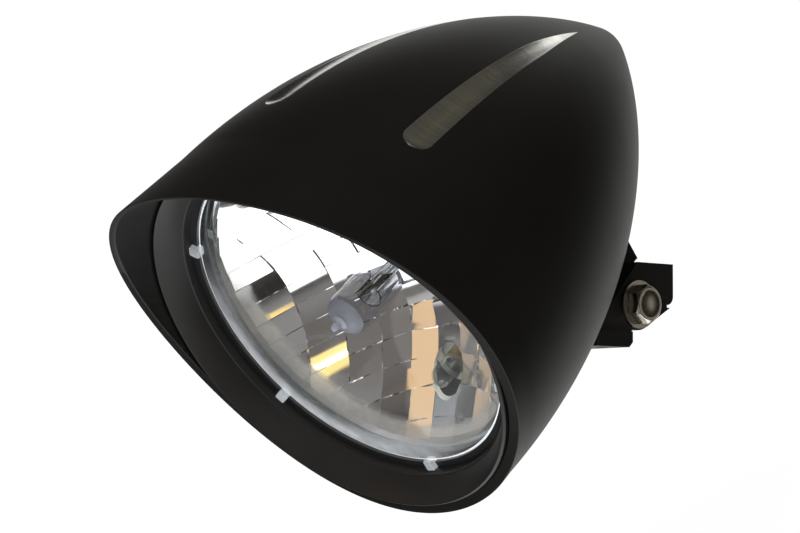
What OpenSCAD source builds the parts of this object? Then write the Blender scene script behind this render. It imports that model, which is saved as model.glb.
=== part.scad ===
// Round motorcycle headlight: a turned aluminium bullet housing with a visor,
// a 146 mm lamp insert with an H4 bulb and a city light, and a tilting bracket.
// Millimetres. The optical axis is horizontal and the lamp looks along -Y.
// The origin is the middle of the seat under the bracket's foot.

/* [Housing] */
// How much larger the body is than the lamp insert, on the radius
body_over = 8.5; // [8:0.1:11]
// Radius of the long arc of the bullet shape
ogive_r = 257; // [245:1:275]
// Distance from the lens plane forward to where the long arc starts
ogive_start = 9; // [5:0.5:12]
// Radius of the rounded tail
tail_r = 14; // [10:1:20]
// Wall of the turned body
wall = 5.5; // [5:0.1:7]
// How far the mouth is wider than the body, on the radius
mouth_flare = 1.8; // [0.5:0.1:2.5]
// Wall at the visor's lip
lip_wall = 2.5; // [2:0.1:3.5]
// Radius of the side cut that gives the visor its sweep
visor_sweep_r = 315; // [280:5:360]
// Distance from the lens plane forward to the lowest point of the visor cut
chin_reach = 15.2; // [14:0.2:20]
// Depth of that lowest point under the optical axis
chin_drop = 55; // [45:1:65]

/* [Flutes] */
// Angle between the flutes on the body
flute_step = 45; // [35:1:50]
// Radius of the ball nose that sets a flute's width from its depth
flute_ball_r = 7; // [6:0.1:8]
// Depth of the flute at its front end
flute_depth = 3.2; // [2.4:0.1:3.6]
// How far the flute's arc is shifted to the rear, so that it runs out
flute_runout = 7; // [6:0.2:9]
// Distance from the lens plane back to the centre of the flute's rounded front
flute_start = 20; // [18:0.5:30]
// Distance from the lens plane back to the flute's pointed end
flute_tip = 136; // [128:0.5:137]

/* [Lamp insert] */
// Radius of the insert's flange, half of 145 mm
insert_r = 72.5; // [72:0.1:73]
// Width of the lens's flat flange around its clear dome
lens_rim = 6.5; // [6:0.1:8]
// Distance from the bulb's dome to the top of the lens
lens_over_bulb = 7; // [6:0.1:9]
// Height of the step around the edge of the lens's dome
lens_step = 0.5; // [0.2:0.1:1]
// Thickness of the lens
lens_t = 3.5; // [3:0.1:4]
// Thickness of the lens's flange
lens_flange_t = 3.5; // [3:0.1:4]
// Focal length of the reflector
focal = 24; // [23:0.2:26]
// Distance from the lens plane back to the edge of the mirrored bowl
mirror_edge_back = 4; // [3.5:0.1:6]
// Thickness of the reflector, measured along the axis
reflector_t = 4; // [3:0.1:5]
// Width of the insert's edge around the mirrored mouth
mirror_rim = 9; // [8.5:0.1:11]
// Thickness of the reflector's flange
reflector_flange_t = 4; // [3:0.1:5]
// Thickness of the gasket behind the insert
gasket_t = 1.9; // [1.5:0.1:3]

/* [Trim ring] */
// How far the ring's lip laps over the insert's flange
ring_lap = 3; // [2.5:0.1:4]
// Distance from the lens plane forward to the ring's inner lip
ring_lip_reach = 8.6; // [8:0.1:10]
// Distance from the lens plane forward to the ring's outer edge
ring_edge_reach = 18; // [16:0.2:19]
// Wall of the ring's skirt around the insert
ring_skirt_wall = 3.9; // [3.4:0.1:4]
// Thickness of the seal between lens and ring
seal_t = 1.5; // [1:0.1:2]

/* [Bulb] */
// Radius of the bulb's glass
bulb_r = 8.5; // [8:0.1:9]
// Distance from the seat of the bulb's flange to the tip of the glass
bulb_length = 58; // [57:0.5:59]
// Wall of the bulb's glass
bulb_wall = 1; // [0.8:0.1:1.2]
// Radius of the bulb's locating flange
flange_r = 21.5; // [21:0.1:21.8]
// Thickness of the bulb's locating flange
flange_t = 1.2; // [1:0.1:1.5]
// Radius of the bulb's plastic base
base_r = 15; // [14:0.1:16]
// Length of the bulb's plastic base
base_length = 14; // [12:0.5:16]
// Distance from the seat of the bulb's flange to the main filament
main_filament = 22; // [21:0.5:24]
// Distance from the seat of the bulb's flange to the dipped filament
dipped_filament = 29.5; // [29:0.1:30]
// Length of a filament's coil
coil_length = 5; // [4:0.1:5.5]
// Radius of a filament's coil
coil_r = 0.7; // [0.5:0.05:0.9]
// Radius of the posts that hold the filaments
post_r = 0.45; // [0.3:0.05:0.6]
// Distance from the seat of the bulb's flange to the dipped beam's shield
shield_start = 27.5; // [27.2:0.1:28]
// Length of that shield
shield_length = 11; // [9:0.5:12]
// Sheet thickness of that shield
shield_t = 0.5; // [0.4:0.1:0.8]
// Radius of the hole for the bulb in the reflector
bulb_hole_r = 19.2; // [18.5:0.1:19.5]
// Gap around the bulb's flange in its recess, on the radius
flange_gap = 0.5; // [0.3:0.1:1]
// Depth of that recess
recess_depth = 6; // [5:0.5:7]
// Wall of the reflector's neck
neck_wall = 2.5; // [2:0.1:3]
// Radius of the wire of the spring clip
clip_wire_r = 0.8; // [0.6:0.1:1]
// Width of a terminal blade
blade_w = 6.3; // [5.5:0.1:6.5]
// Thickness of a terminal blade
blade_t = 0.8; // [0.6:0.1:1]
// Distance from the bulb's axis to a terminal blade
blade_r = 8.5; // [8:0.1:9]
// How far the blades stand out of the base
blade_reach = 9; // [7:0.5:11]
// Wall of the rubber boot
boot_wall = 2; // [1.5:0.1:2.5]

/* [City light] */
// How far the city light lies outside the middle between neck and mirror's edge
city_shift = 2; // [1:0.1:3]
// Radius of the port in the reflector
city_port_r = 9.5; // [9:0.1:10.5]
// Radius of the city bulb's glass
city_glass_r = 4.4; // [4:0.1:5]
// Length of the city bulb's glass
city_glass_length = 12; // [10:0.5:14]

/* [Bracket] */
// Angle of the foot to the optical axis, as a raked fork clamp sets it
rake = 39.3; // [36:0.1:42]
// Distance from the lens plane back to the pivot
pivot_back = 102.5; // [100:0.5:105]
// Distance from the body's underside down to the pivot
pivot_below = 20.45; // [18.5:0.05:22]
// Half width of the bracket's cheeks
cheek_half = 20.4; // [19:0.1:22]
// Half width of the slot between the cheeks
slot_half = 9.5; // [9.5:0.1:11]
// Radius of the cheek around the pivot
cheek_r = 9.8; // [9.5:0.1:11]
// Distance from the pivot to the cheek's rear face
cheek_rear = 20.3; // [18:0.1:22]
// Distance from the pivot to the cheek's top face
cheek_top = 16.3; // [15:0.1:17]
// Distance from the pivot down to the foot's seat
seat_drop = 16.5; // [16:0.1:18]
// Thickness of the foot
foot_t = 6; // [5:0.1:6]
// Distance from the pivot to the foot's front end
foot_front = 24; // [22:0.5:24]
// Distance from the pivot to the foot's rear end
foot_rear = 4; // [3:0.5:5]
// How far the foot stands out beside the cheeks
foot_proud = 1.6; // [0.5:0.1:2.5]
// Distance between the two bolts into the fork clamp
seat_bolt_spacing = 30; // [28:0.5:32]
// Radius of the tapped holes for those bolts, M6 tapping size
seat_bolt_r = 2.5; // [2.5:0.05:3]
// Depth of the tapped holes
seat_bolt_depth = 12; // [9:0.5:13]

/* [Lug and gland] */
// Radius of the screws that hold the lug, M6
lug_screw_r = 3; // [2.9:0.05:3.1]
// Length of those screws under their washers
lug_screw_length = 16; // [15:0.5:17]
// Radius of their heads
lug_head_r = 5; // [4.6:0.1:5.2]
// Height of their heads
lug_head_h = 6; // [5:0.1:6.5]
// Width across the flats of the socket in their heads
lug_socket_af = 5; // [4:0.5:5]
// Radius of their washers
lug_washer_r = 6; // [5.6:0.1:6.5]
// Thickness of their washers
lug_washer_t = 1.2; // [1:0.1:1.6]
// Distance from the pivot to the rear screw, and to the front one
lug_screw_rear = 12; // [11.5:0.1:12.5]
lug_screw_front = 11; // [10.5:0.1:11.5]
// Distance from the pivot back to the gland under the tail
grommet_behind = 33.5; // [31:0.5:36]
// Radius of the hole for the gland
grommet_hole_r = 6.5; // [6:0.1:7]
// Radius of the gland's outer lip
grommet_lip_r = 9; // [8:0.1:9.5]
// Thickness of that lip
grommet_lip_t = 2; // [1.5:0.1:2.5]
// Radius of the gland's bore for the cord
grommet_bore_r = 3.5; // [3:0.1:4]
// Depth of the flat that the gland's lip lies in
spot_depth = 1.2; // [0.8:0.1:1.4]

/* [Pivot] */
// Radius of the pivot bolt, M8
bolt_r = 4; // [3.8:0.05:4.1]
// Width across the flats of the bolt's head and nut
hex_af = 13; // [12:0.5:14]
// Height of the bolt's head
head_h = 5.3; // [5:0.1:6]
// Height of the locking nut
nut_h = 8; // [7:0.5:9]
// Radius of the flat washers
washer_r = 9.2; // [8.5:0.1:9.5]
// Thickness of the flat washers
washer_t = 1.6; // [1.2:0.1:2]
// Radius of the tongue's rounded end
tongue_r = 8.5; // [8:0.1:9]
// Outer radius of the bush in the tongue
bush_r = 5.5; // [5.2:0.1:6]
// Thickness of the friction washers
friction_t = 0.7; // [0.5:0.1:0.8]

/* [Clearances] */
// Gap between parts that slip together, on the radius
slip = 0.1; // [0.05:0.05:0.2]
// Running gap between the bolt and the bush, on the radius
running = 0.05; // [0.02:0.01:0.08]
// Gap of a bolt in a plain hole, on the radius
hole_gap = 0.3; // [0.2:0.05:0.4]

/* [Hidden] */
$fn = 96;
tiny = 0.01;
far = 300;

// Colours
black_satin = [0.09, 0.09, 0.095];
rubber_black = [0.05, 0.05, 0.05];
bare_metal = [0.72, 0.72, 0.7];
mirror_metal = [0.88, 0.88, 0.9];
clear_glass = [0.82, 0.88, 0.92, 0.35];
brass_yellow = [0.8, 0.65, 0.3];

// Radii that follow the lamp insert
body_r = insert_r + body_over;
lens_r = insert_r - lens_rim;
mirror_r = insert_r - mirror_rim;
ring_lip_r = insert_r - ring_lap;
recess_r = flange_r + flange_gap;
city_drop = (recess_r + neck_wall + mirror_r) / 2 + city_shift;
vertex_depth = pow(mirror_r, 2) / (4 * focal) + mirror_edge_back;

// Bullet outline: the long arc's centre lies ogive_offset on the far side of the axis
ogive_offset = ogive_r - body_r;
tail_centre = ogive_start - sqrt(pow(ogive_r - tail_r, 2) - pow(ogive_offset, 2));
tail_tangent = tail_centre
    - tail_r * sqrt(1 - pow(ogive_offset / (ogive_r - tail_r), 2));
mouth_reach = chin_reach + visor_sweep_r
    - sqrt(pow(visor_sweep_r, 2) - pow(body_r + mouth_flare + chin_drop, 2)) + 4;

// Stack of the lamp insert along the axis
lens_back = -0.5;
lens_front = lens_back + lens_flange_t;
lens_apex = bulb_length - vertex_depth - 2 + lens_over_bulb;
lens_sag = lens_apex - lens_front - lens_step;
lens_curve_r = (pow(lens_r, 2) + pow(lens_sag, 2)) / 2 / lens_sag;
bond_t = 0.6;
flange_front = lens_back - bond_t;
flange_back = flange_front - reflector_flange_t;
shoulder_front = flange_back - gasket_t;
shoulder_length = 5.5;
shoulder_r = insert_r - 3;
ring_back = lens_front + seal_t;
ring_r = insert_r + 0.6 + ring_skirt_wall;
ring_skirt_back = flange_back + 1.5;
bore_r = ring_r + slip;
lug_reach = 3.5;

// Places of the bulb along the axis
flange_seat = -vertex_depth - 2;
neck_r = recess_r + neck_wall;
base_back = flange_seat - flange_t - base_length;

// Radius of the body's outside, grown by g, at a distance z forward of the lens plane
function body_at(z, g = 0) = sqrt(pow(ogive_r + g, 2) - pow(z - ogive_start, 2)) - ogive_offset;

// Distance from the lens plane to the reflector's ideal surface at a radius r
function mirror_at(r) = -vertex_depth + r * r / (4 * focal);

// Length of a hexagon's corner radius from its width across the flats
function corner_r(af) = af / 2 / cos(30);

// Place of the pivot, and of the seat's middle, as [x, y, z] from the middle of the lens plane
pivot_drop = body_at(-pivot_back) + pivot_below;
pivot_point = [0, pivot_back, -pivot_drop];
seat_mid = -(foot_front + foot_rear) / 2;
seat_point = pivot_point + [0,
    seat_mid * cos(rake) - seat_drop * sin(rake),
    -seat_mid * sin(rake) - seat_drop * cos(rake)];

// The lamp's own frame: z forward along the optical axis, y up
module lamp_frame() {
    translate(-seat_point) rotate([90, 0, 0]) children();
}

// The frame at the pivot: x across, y to the rear, z up
module pivot_frame() {
    translate(pivot_point - seat_point) children();
}

// The bracket's frame at the pivot, turned by the rake
module bracket_frame() {
    pivot_frame() rotate([-rake, 0, 0]) children();
}

// An outline in y and z, made solid across x from x0 to x1
module across(x0, x1) {
    translate([x0, 0, 0]) rotate([90, 0, 90]) linear_extrude(x1 - x0) children();
}

// A cylinder along x from x0 to x1
module rod(r, x0, x1) {
    translate([x0, 0, 0]) rotate([0, 90, 0]) cylinder(r = r, h = x1 - x0);
}

// A hexagonal prism along x
module hex_rod(af, x0, x1) {
    translate([x0, 0, 0]) rotate([0, 90, 0]) cylinder(r = corner_r(af), h = x1 - x0, $fn = 6);
}

// A flat ring along x
module ring_x(r_out, r_in, x0, x1) {
    difference() {
        rod(r_out, x0, x1);
        rod(r_in, x0 - 1, x1 + 1);
    }
}

// Half of the bullet's outline, grown by g, without its mouth
module bullet_outline(g) {
    intersection() {
        translate([-ogive_offset, ogive_start]) circle(r = ogive_r + g, $fn = 720);
        translate([0, tail_tangent]) square([far, ogive_start - tail_tangent]);
    }
    intersection() {
        translate([0, tail_centre]) circle(r = tail_r + g);
        translate([0, tail_centre - far]) square([far, far + tail_tangent - tail_centre + tiny]);
    }
}

// The outside of the body as a solid, grown by g
module body_solid(g) {
    rotate_extrude($fn = 180) bullet_outline(g);
    translate([0, 0, ogive_start - tiny])
        cylinder(r1 = body_r + g, r2 = body_r + mouth_flare + g, h = mouth_reach - ogive_start);
}

// Radius of the arc that a flute's floor follows, and where its centre lies along the axis
flute_floor_r = ogive_r - flute_depth - 0.8;
flute_floor_z = ogive_start - flute_runout;

// Radius of a flute's floor from the axis at a distance z forward of the lens plane
function flute_floor(z) = sqrt(pow(flute_floor_r, 2) - pow(z - flute_floor_z, 2)) - ogive_offset;

// One flute's cutter, at the top of the body: its outline seen from above, down to its floor
module flute_cutter() {
    runs = 9;
    zs = [for (i = [0:runs]) -flute_start - i * (flute_tip - flute_start) / runs];
    depths = [for (z = zs) max(0.02, body_at(z) - flute_floor(z))];
    halves = [for (d = depths) sqrt(2 * flute_ball_r * d - d * d)];
    front_z = -flute_start + 2 * flute_ball_r;
    nose = [for (a = [15:15:165]) [halves[0] * cos(a), -flute_start + halves[0] * sin(a)]];
    intersection() {
        rotate([-90, 0, 0]) linear_extrude(100) mirror([0, 1]) polygon(concat(
            nose,
            [for (i = [0:runs]) [-halves[i], zs[i]]],
            [for (i = [runs:-1:0]) [halves[i], zs[i]]]));
        across(-20, 20) polygon(concat(
            [[flute_floor(front_z), front_z]],
            [for (z = zs) [flute_floor(z), z]],
            [[95, -flute_tip], [95, front_z]]));
    }
}

// Places of the two screws that hold the lug, behind the lens plane
lug_screw_backs = [pivot_back - lug_screw_front, pivot_back + lug_screw_rear];

// Depth under the axis of the flat that a lug screw's washer rests on
function lug_flat(back) = body_at(-back) - wall + 0.4;

// Place and slope of the wiring grommet under the tail
grommet_back = pivot_back + grommet_behind;
grommet_slope = asin((ogive_start + grommet_back) / ogive_r);

// Housing: turned bullet, visor mouth, shoulder for the insert, flutes and holes
module housing() {
    inner_back = shoulder_front - shoulder_length;
    color(black_satin) lamp_frame() difference() {
        body_solid(0);
        // inside, behind the shoulder
        rotate_extrude($fn = 180) intersection() {
            translate([-ogive_offset, ogive_start]) circle(r = ogive_r - wall, $fn = 720);
            translate([0, tail_centre]) square([far, inner_back - tail_centre]);
        }
        translate([0, 0, tail_centre + tiny]) intersection() {
            sphere(r = tail_r - wall / 2);
            translate([0, 0, -far / 2]) cube(far, center = true);
        }
        // hole of the shoulder, then the bore for the trim ring
        translate([0, 0, inner_back - tiny]) cylinder(r = shoulder_r, h = shoulder_length + 1);
        translate([0, 0, shoulder_front]) cylinder(r = bore_r, h = far);
        // flared inside of the visor
        translate([0, 0, ring_edge_reach + 1]) cylinder(
            r1 = bore_r - tiny,
            r2 = body_r + mouth_flare - lip_wall,
            h = mouth_reach - ring_edge_reach - 1 + tiny);
        // the visor's side cut
        translate([-far / 2, -chin_drop, chin_reach + visor_sweep_r]) rotate([0, 90, 0])
            cylinder(r = visor_sweep_r, h = far, $fn = 360);
        for (a = [-flute_step, 0, flute_step]) rotate([0, 0, a]) flute_cutter();
        // screws of the lug, each with a flat for its washer inside
        for (b = lug_screw_backs) translate([0, 0, -b]) rotate([90, 0, 0]) {
            cylinder(r = lug_screw_r + hole_gap, h = far / 2);
            translate([0, 0, 20]) cylinder(r = lug_washer_r + 1, h = lug_flat(b) - 20);
        }
        grommet_place() {
            translate([0, 0, -2 * wall]) cylinder(r = grommet_hole_r, h = 4 * wall);
            translate([0, 0, -spot_depth]) cylinder(r = grommet_lip_r + slip, h = 20);
        }
        // the locking screw of the trim ring
        lock_screw_place() cylinder(r = lock_r, h = 20);
    }
}

// The frame of the grommet: z outward through the wall, zero at the outside
module grommet_place() {
    translate([0, ogive_offset, ogive_start]) rotate([90 + grommet_slope, 0, 0])
        translate([0, 0, ogive_r]) children();
}

lock_r = 2;
lock_length = 5;
lock_z = 0;

// The frame of the locking screw: z outward, zero in the bottom of the ring's skirt
module lock_screw_place() {
    translate([0, 0, lock_z]) rotate([90, 0, 0]) translate([0, 0, ring_r - 1]) children();
}

// Trim ring: a skirt around the insert and a cone from the lip to the outer edge
module trim_ring() {
    edge = 0.9;
    color(black_satin) lamp_frame() difference() {
        rotate_extrude($fn = 180) polygon([
            [ring_lip_r, ring_back],
            [ring_lip_r, ring_lip_reach - 0.4],
            [ring_lip_r + 0.4, ring_lip_reach],
            [ring_r - edge - 0.4, ring_edge_reach - 0.3],
            [ring_r - edge, ring_edge_reach],
            [ring_r - 0.4, ring_edge_reach - 0.3],
            [ring_r, ring_edge_reach - edge],
            [ring_r, ring_skirt_back],
            [insert_r + 0.6, ring_skirt_back],
            [insert_r + 0.6, ring_back]
        ]);
        lock_screw_place() cylinder(r = lock_r + slip, h = 20);
    }
}

// Lens seal: a flat rubber ring under the trim ring, notched for the lens's lugs
module lens_seal() {
    color(rubber_black) lamp_frame() difference() {
        translate([0, 0, lens_front]) difference() {
            cylinder(r = insert_r - 0.6, h = seal_t, $fn = 180);
            translate([0, 0, -1]) cylinder(r = lens_r + 0.5, h = seal_t + 2, $fn = 180);
        }
        lens_lugs(0.3);
    }
}

// Six small feet around the dome of the lens, grown by g
module lens_lugs(g) {
    for (i = [0:5]) rotate([0, 0, i * 60])
        translate([-2 - g, lens_r - 1, lens_front - 0.5])
            cube([4 + 2 * g, ring_lip_r - lens_r + 0.8 + g, lug_reach + 0.5 + g]);
}

// Lens: a clear dome with a flat flange
module lens() {
    color(clear_glass) lamp_frame() {
        rotate_extrude($fn = 180) union() {
            difference() {
                intersection() {
                    translate([0, lens_apex - lens_curve_r]) circle(r = lens_curve_r, $fn = 720);
                    translate([0, lens_back]) square([lens_r, far]);
                }
                translate([0, lens_apex - lens_curve_r])
                    circle(r = lens_curve_r - lens_t, $fn = 720);
            }
            translate([lens_r - 2.5, lens_back])
                square([insert_r - 0.5 - lens_r + 2.5, lens_flange_t]);
        }
        lens_lugs(0);
    }
}

// Lens bond: the bead of sealant between lens and reflector
module lens_bond() {
    color(rubber_black) lamp_frame() translate([0, 0, flange_front]) difference() {
        cylinder(r = insert_r - 1.5, h = bond_t, $fn = 180);
        translate([0, 0, -1]) cylinder(r = insert_r - 6, h = bond_t + 2, $fn = 180);
    }
}

// Reflector: a bowl with a neck for the bulb and a port for the city light
module reflector() {
    bands = 12;
    radii = [for (i = [0:bands]) i * mirror_r / bands];
    color(mirror_metal) lamp_frame() difference() {
        union() {
            rotate_extrude($fn = 180) polygon(concat(
                [[0, flange_front], [insert_r, flange_front], [insert_r, flange_back],
                    [mirror_r + 1.5, flange_back]],
                [for (i = [bands:-1:0]) [radii[i], mirror_at(radii[i]) - reflector_t]]));
            translate([0, 0, flange_seat - recess_depth])
                cylinder(r = neck_r, h = recess_depth + 3);
            translate([0, -city_drop, city_back])
                cylinder(r = city_port_r + 2, h = mirror_at(city_drop) - city_back);
        }
        rotate_extrude($fn = 180) polygon(concat(
            [for (r = radii) [r, mirror_at(r)]],
            [[mirror_r, 20], [0, 20]]));
        translate([0, 0, -far / 2]) cylinder(r = bulb_hole_r, h = far / 2);
        translate([0, 0, flange_seat - far / 2]) cylinder(r = recess_r, h = far / 2);
        translate([0, -city_drop, -far / 2]) cylinder(r = city_port_r, h = far / 2);
    }
}

// Insert gasket: a foam ring between the flange and the housing's shoulder
module insert_gasket() {
    color(rubber_black) lamp_frame() translate([0, 0, shoulder_front]) difference() {
        cylinder(r = insert_r + 2, h = gasket_t, $fn = 180);
        translate([0, 0, -1]) cylinder(r = shoulder_r, h = gasket_t + 2, $fn = 180);
    }
}

// Locking screw of the trim ring: a grub screw with a hexagon socket
module ring_lock_screw() {
    color(bare_metal) lamp_frame() lock_screw_place() difference() {
        cylinder(r = lock_r, h = lock_length, $fn = 48);
        translate([0, 0, lock_length - 2]) cylinder(r = corner_r(2), h = 3, $fn = 6);
    }
}

// Places inside the bulb, forward of the flange's seat
glass_foot = 6;
dome_z = flange_seat + bulb_length - bulb_r;

// Bulb glass: a tube closed by a dome with a small tip
module bulb_glass() {
    foot_z = flange_seat + glass_foot;
    color(clear_glass) lamp_frame() difference() {
        union() {
            translate([0, 0, foot_z]) cylinder(r = bulb_r, h = dome_z - foot_z);
            translate([0, 0, dome_z]) sphere(r = bulb_r);
            translate([0, 0, dome_z]) cylinder(r1 = 3, r2 = 1.4, h = bulb_r + 1.2, $fn = 48);
        }
        translate([0, 0, foot_z + 2]) cylinder(r = bulb_r - bulb_wall, h = dome_z - foot_z - 2 + tiny);
        translate([0, 0, dome_z]) sphere(r = bulb_r - bulb_wall);
    }
}

// Bulb shield: the little cup under the dipped filament, open at the top
module bulb_shield() {
    shield_r = bulb_r - bulb_wall - 3 * shield_t;
    color(bare_metal) lamp_frame() translate([0, 0, flange_seat + shield_start]) difference() {
        cylinder(r = shield_r, h = shield_length, $fn = 48);
        translate([0, 0, shield_t]) cylinder(r = shield_r - shield_t, h = shield_length, $fn = 48);
        translate([-bulb_r, 2 * shield_t, -shield_length])
            cube([2 * bulb_r, bulb_r, 3 * shield_length]);
    }
}

// Bulb filaments: two coils on their posts
module bulb_filaments() {
    foot = flange_seat + glass_foot + 2 * bulb_wall;
    main_z = flange_seat + main_filament;
    dip_z = flange_seat + dipped_filament;
    spread = bulb_r / 3;
    color(bare_metal) lamp_frame() {
        translate([0, -post_r, main_z]) cylinder(r = coil_r, h = coil_length, $fn = 24);
        for (s = [-1, 1]) {
            translate([s * spread, -post_r, foot])
                cylinder(r = post_r, h = main_z - foot + coil_length, $fn = 24);
            translate([min(0, s * spread), -2 * post_r, main_z + (s + 1) / 2 * (coil_length - post_r)])
                cube([spread, post_r, post_r]);
        }
        translate([0, 4 * coil_r, foot])
            cylinder(r = post_r, h = dip_z - foot + coil_length, $fn = 24);
        translate([0, 1.6 * coil_r, dip_z]) cylinder(r = coil_r, h = coil_length, $fn = 24);
        translate([-post_r / 2, 1.6 * coil_r, dip_z + coil_length - post_r])
            cube([post_r, 2.4 * coil_r, post_r]);
    }
}

// Bulb flange: the steel locating ring with three tabs and its sleeve
module bulb_flange() {
    color(bare_metal) lamp_frame() {
        difference() {
            union() {
                translate([0, 0, flange_seat - flange_t]) cylinder(r = flange_r, h = flange_t);
                translate([0, 0, flange_seat - flange_t])
                    cylinder(r = 12, h = flange_t + glass_foot);
            }
            translate([0, 0, flange_seat - flange_t - 1])
                cylinder(r = bulb_r + slip, h = flange_t + glass_foot + 4);
            for (a = [60, 180, 300]) rotate([0, 0, a]) translate([-3, flange_r - 1.5, -far / 2])
                cube([6, 10, far]);
        }
        // the bottom of the sleeve, which the glass stands on
        translate([0, 0, flange_seat - flange_t]) difference() {
            cylinder(r = bulb_r + slip + tiny, h = flange_t + glass_foot);
            for (s = [-1, 1]) translate([s * 3, 0, -1]) cylinder(r = 0.8, h = 20, $fn = 24);
        }
    }
}

// Bulb insulator: the plastic base behind the flange
module bulb_insulator() {
    color(rubber_black) lamp_frame() translate([0, 0, base_back]) difference() {
        cylinder(r = base_r, h = base_length);
        blade_slots(slip);
    }
}

// The three terminal blades in the base, grown by g
module blade_slots(g, reach = 1) {
    depth = base_length - 3 * boot_wall / 2;
    for (a = [-90, 0, 90]) rotate([0, 0, a])
        translate([-blade_w / 2 - g, blade_r - blade_t / 2 - g, -reach])
            cube([blade_w + 2 * g, blade_t + 2 * g, depth + reach]);
}

// Bulb terminals: three flat blades
module bulb_terminals() {
    color(bare_metal) lamp_frame() translate([0, 0, base_back]) blade_slots(0, blade_reach);
}

// Bulb clip: the wire spring that holds the flange in its recess
module bulb_clip() {
    loop_r = (base_r + flange_r) / 2;
    loop_z = flange_seat - flange_t - clip_wire_r;
    color(bare_metal) lamp_frame() {
        translate([0, 0, loop_z]) rotate([0, 0, -243]) rotate_extrude(angle = 306)
            translate([loop_r, 0]) circle(r = clip_wire_r, $fn = 24);
        for (s = [-1, 1]) rotate([0, 0, s * 30]) translate([0, loop_r, loop_z]) rotate([-90, 0, 0])
            cylinder(r = clip_wire_r - 0.1, h = recess_r - loop_r, $fn = 24);
    }
}

// Rubber boot: the cover over the neck and the bulb's base
module rubber_boot() {
    skirt_length = recess_depth + 1;
    back = flange_seat - recess_depth;
    color(rubber_black) lamp_frame() rotate_extrude() polygon([
        [neck_r, back],
        [neck_r, back + skirt_length],
        [neck_r + boot_wall, back + skirt_length],
        [neck_r + boot_wall, back - boot_wall],
        [base_r + boot_wall, back - boot_wall],
        [base_r + boot_wall, base_back + 1],
        [base_r, base_back + 1],
        [base_r, back]
    ]);
}

// Places of the city light along the axis
city_back = mirror_at(city_drop - city_port_r) - reflector_t - 3;
city_plug = 6;
city_base_r = 4.6;
city_base_length = 9;
city_glass_z = city_back + 2 + city_base_length;

// City bulb: the small glass
module city_bulb() {
    color(clear_glass) lamp_frame() translate([0, -city_drop, city_glass_z]) difference() {
        union() {
            cylinder(r = city_glass_r, h = city_glass_length - city_glass_r, $fn = 48);
            translate([0, 0, city_glass_length - city_glass_r]) sphere(r = city_glass_r, $fn = 48);
        }
        translate([0, 0, 1])
            cylinder(r = city_glass_r - 0.6, h = city_glass_length - city_glass_r - 1, $fn = 48);
        translate([0, 0, city_glass_length - city_glass_r - tiny])
            sphere(r = city_glass_r - 0.6, $fn = 48);
    }
}

// City base: the brass cap of the small bulb with its two pins
module city_base() {
    color(brass_yellow) lamp_frame() translate([0, -city_drop, city_glass_z - city_base_length]) {
        cylinder(r = city_base_r, h = city_base_length, $fn = 48);
        translate([-city_base_r - 0.8, 0, city_base_length - 2]) rotate([0, 90, 0])
            cylinder(r = 0.7, h = 2 * city_base_r + 1.6, $fn = 24);
    }
}

// City holder: the rubber plug that carries the small bulb in its port
module city_holder() {
    color(rubber_black) lamp_frame() translate([0, -city_drop, city_back]) difference() {
        union() {
            cylinder(r = city_port_r - slip, h = city_plug, $fn = 60);
            translate([0, 0, -3]) cylinder(r = city_port_r + 2.5, h = 3, $fn = 60);
        }
        translate([0, 0, 2]) cylinder(r = city_base_r + slip, h = 20, $fn = 48);
    }
}

// Wiring grommet: the rubber gland under the tail, with a lip inside and outside
module wiring_grommet() {
    neck = wall - spot_depth;
    inner = 1.5;
    color(rubber_black) lamp_frame() grommet_place() difference() {
        union() {
            translate([0, 0, -spot_depth]) cylinder(r = grommet_lip_r, h = grommet_lip_t, $fn = 60);
            translate([0, 0, -wall - 2.5])
                cylinder(r = grommet_hole_r - slip, h = neck + 2.5 + tiny, $fn = 60);
            translate([0, 0, -wall - 2.5]) cylinder(r = grommet_hole_r + inner, h = 1.5, $fn = 60);
        }
        translate([0, 0, -3 * wall]) cylinder(r = grommet_bore_r, h = 6 * wall, $fn = 60);
    }
}

// Sizes of the lug around the pivot
tongue_half = slot_half - friction_t - 0.1;
neck_front = 20.5;
neck_back = 22.1;
neck_low = 14;
shoulder_low = 6.5;
saddle_half = 14;
saddle_front = 24.5;
saddle_back = 16.5;
saddle_low = 16;

// The point where a line from p touches a circle of radius r at the origin; side is 1 or -1
function touch(p, r, side) =
    let (d = norm(p), a = atan2(p[1], p[0]) + side * acos(r / d))
    [r * cos(a), r * sin(a)];

// Lamp lug: the saddle under the housing and the tongue that hangs from it
module lamp_lug() {
    front = [-neck_front, neck_low];
    front_touch = touch(front, tongue_r - 0.1, 1);
    color(black_satin) pivot_frame() difference() {
        union() {
            across(-tongue_half, tongue_half) {
                circle(r = tongue_r);
                polygon([front, front_touch, [0, 0], [0, shoulder_low],
                    [neck_back, shoulder_low], [neck_back, pivot_drop - 30],
                    [-neck_front, pivot_drop - 30]]);
            }
            across(-saddle_half, saddle_half) polygon([
                [-saddle_front, saddle_low], [saddle_back, saddle_low],
                [saddle_back, pivot_drop - 30], [-saddle_front, pivot_drop - 30]]);
        }
        translate(-pivot_point) rotate([90, 0, 0]) rotate_extrude($fn = 180) intersection() {
            translate([-ogive_offset, ogive_start]) circle(r = ogive_r + slip, $fn = 720);
            translate([0, tail_tangent]) square([far, -tail_tangent]);
        }
        rod(bush_r, -far / 2, far / 2);
        for (b = lug_screw_backs) translate([0, b - pivot_back, 0])
            translate([0, 0, pivot_drop - lug_thread_low(b)]) cylinder(r = lug_screw_r, h = 60, $fn = 48);
    }
}

// Depth under the axis of the tip of a lug screw
function lug_thread_low(b) = lug_flat(b) - lug_washer_t + lug_screw_length;

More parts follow.
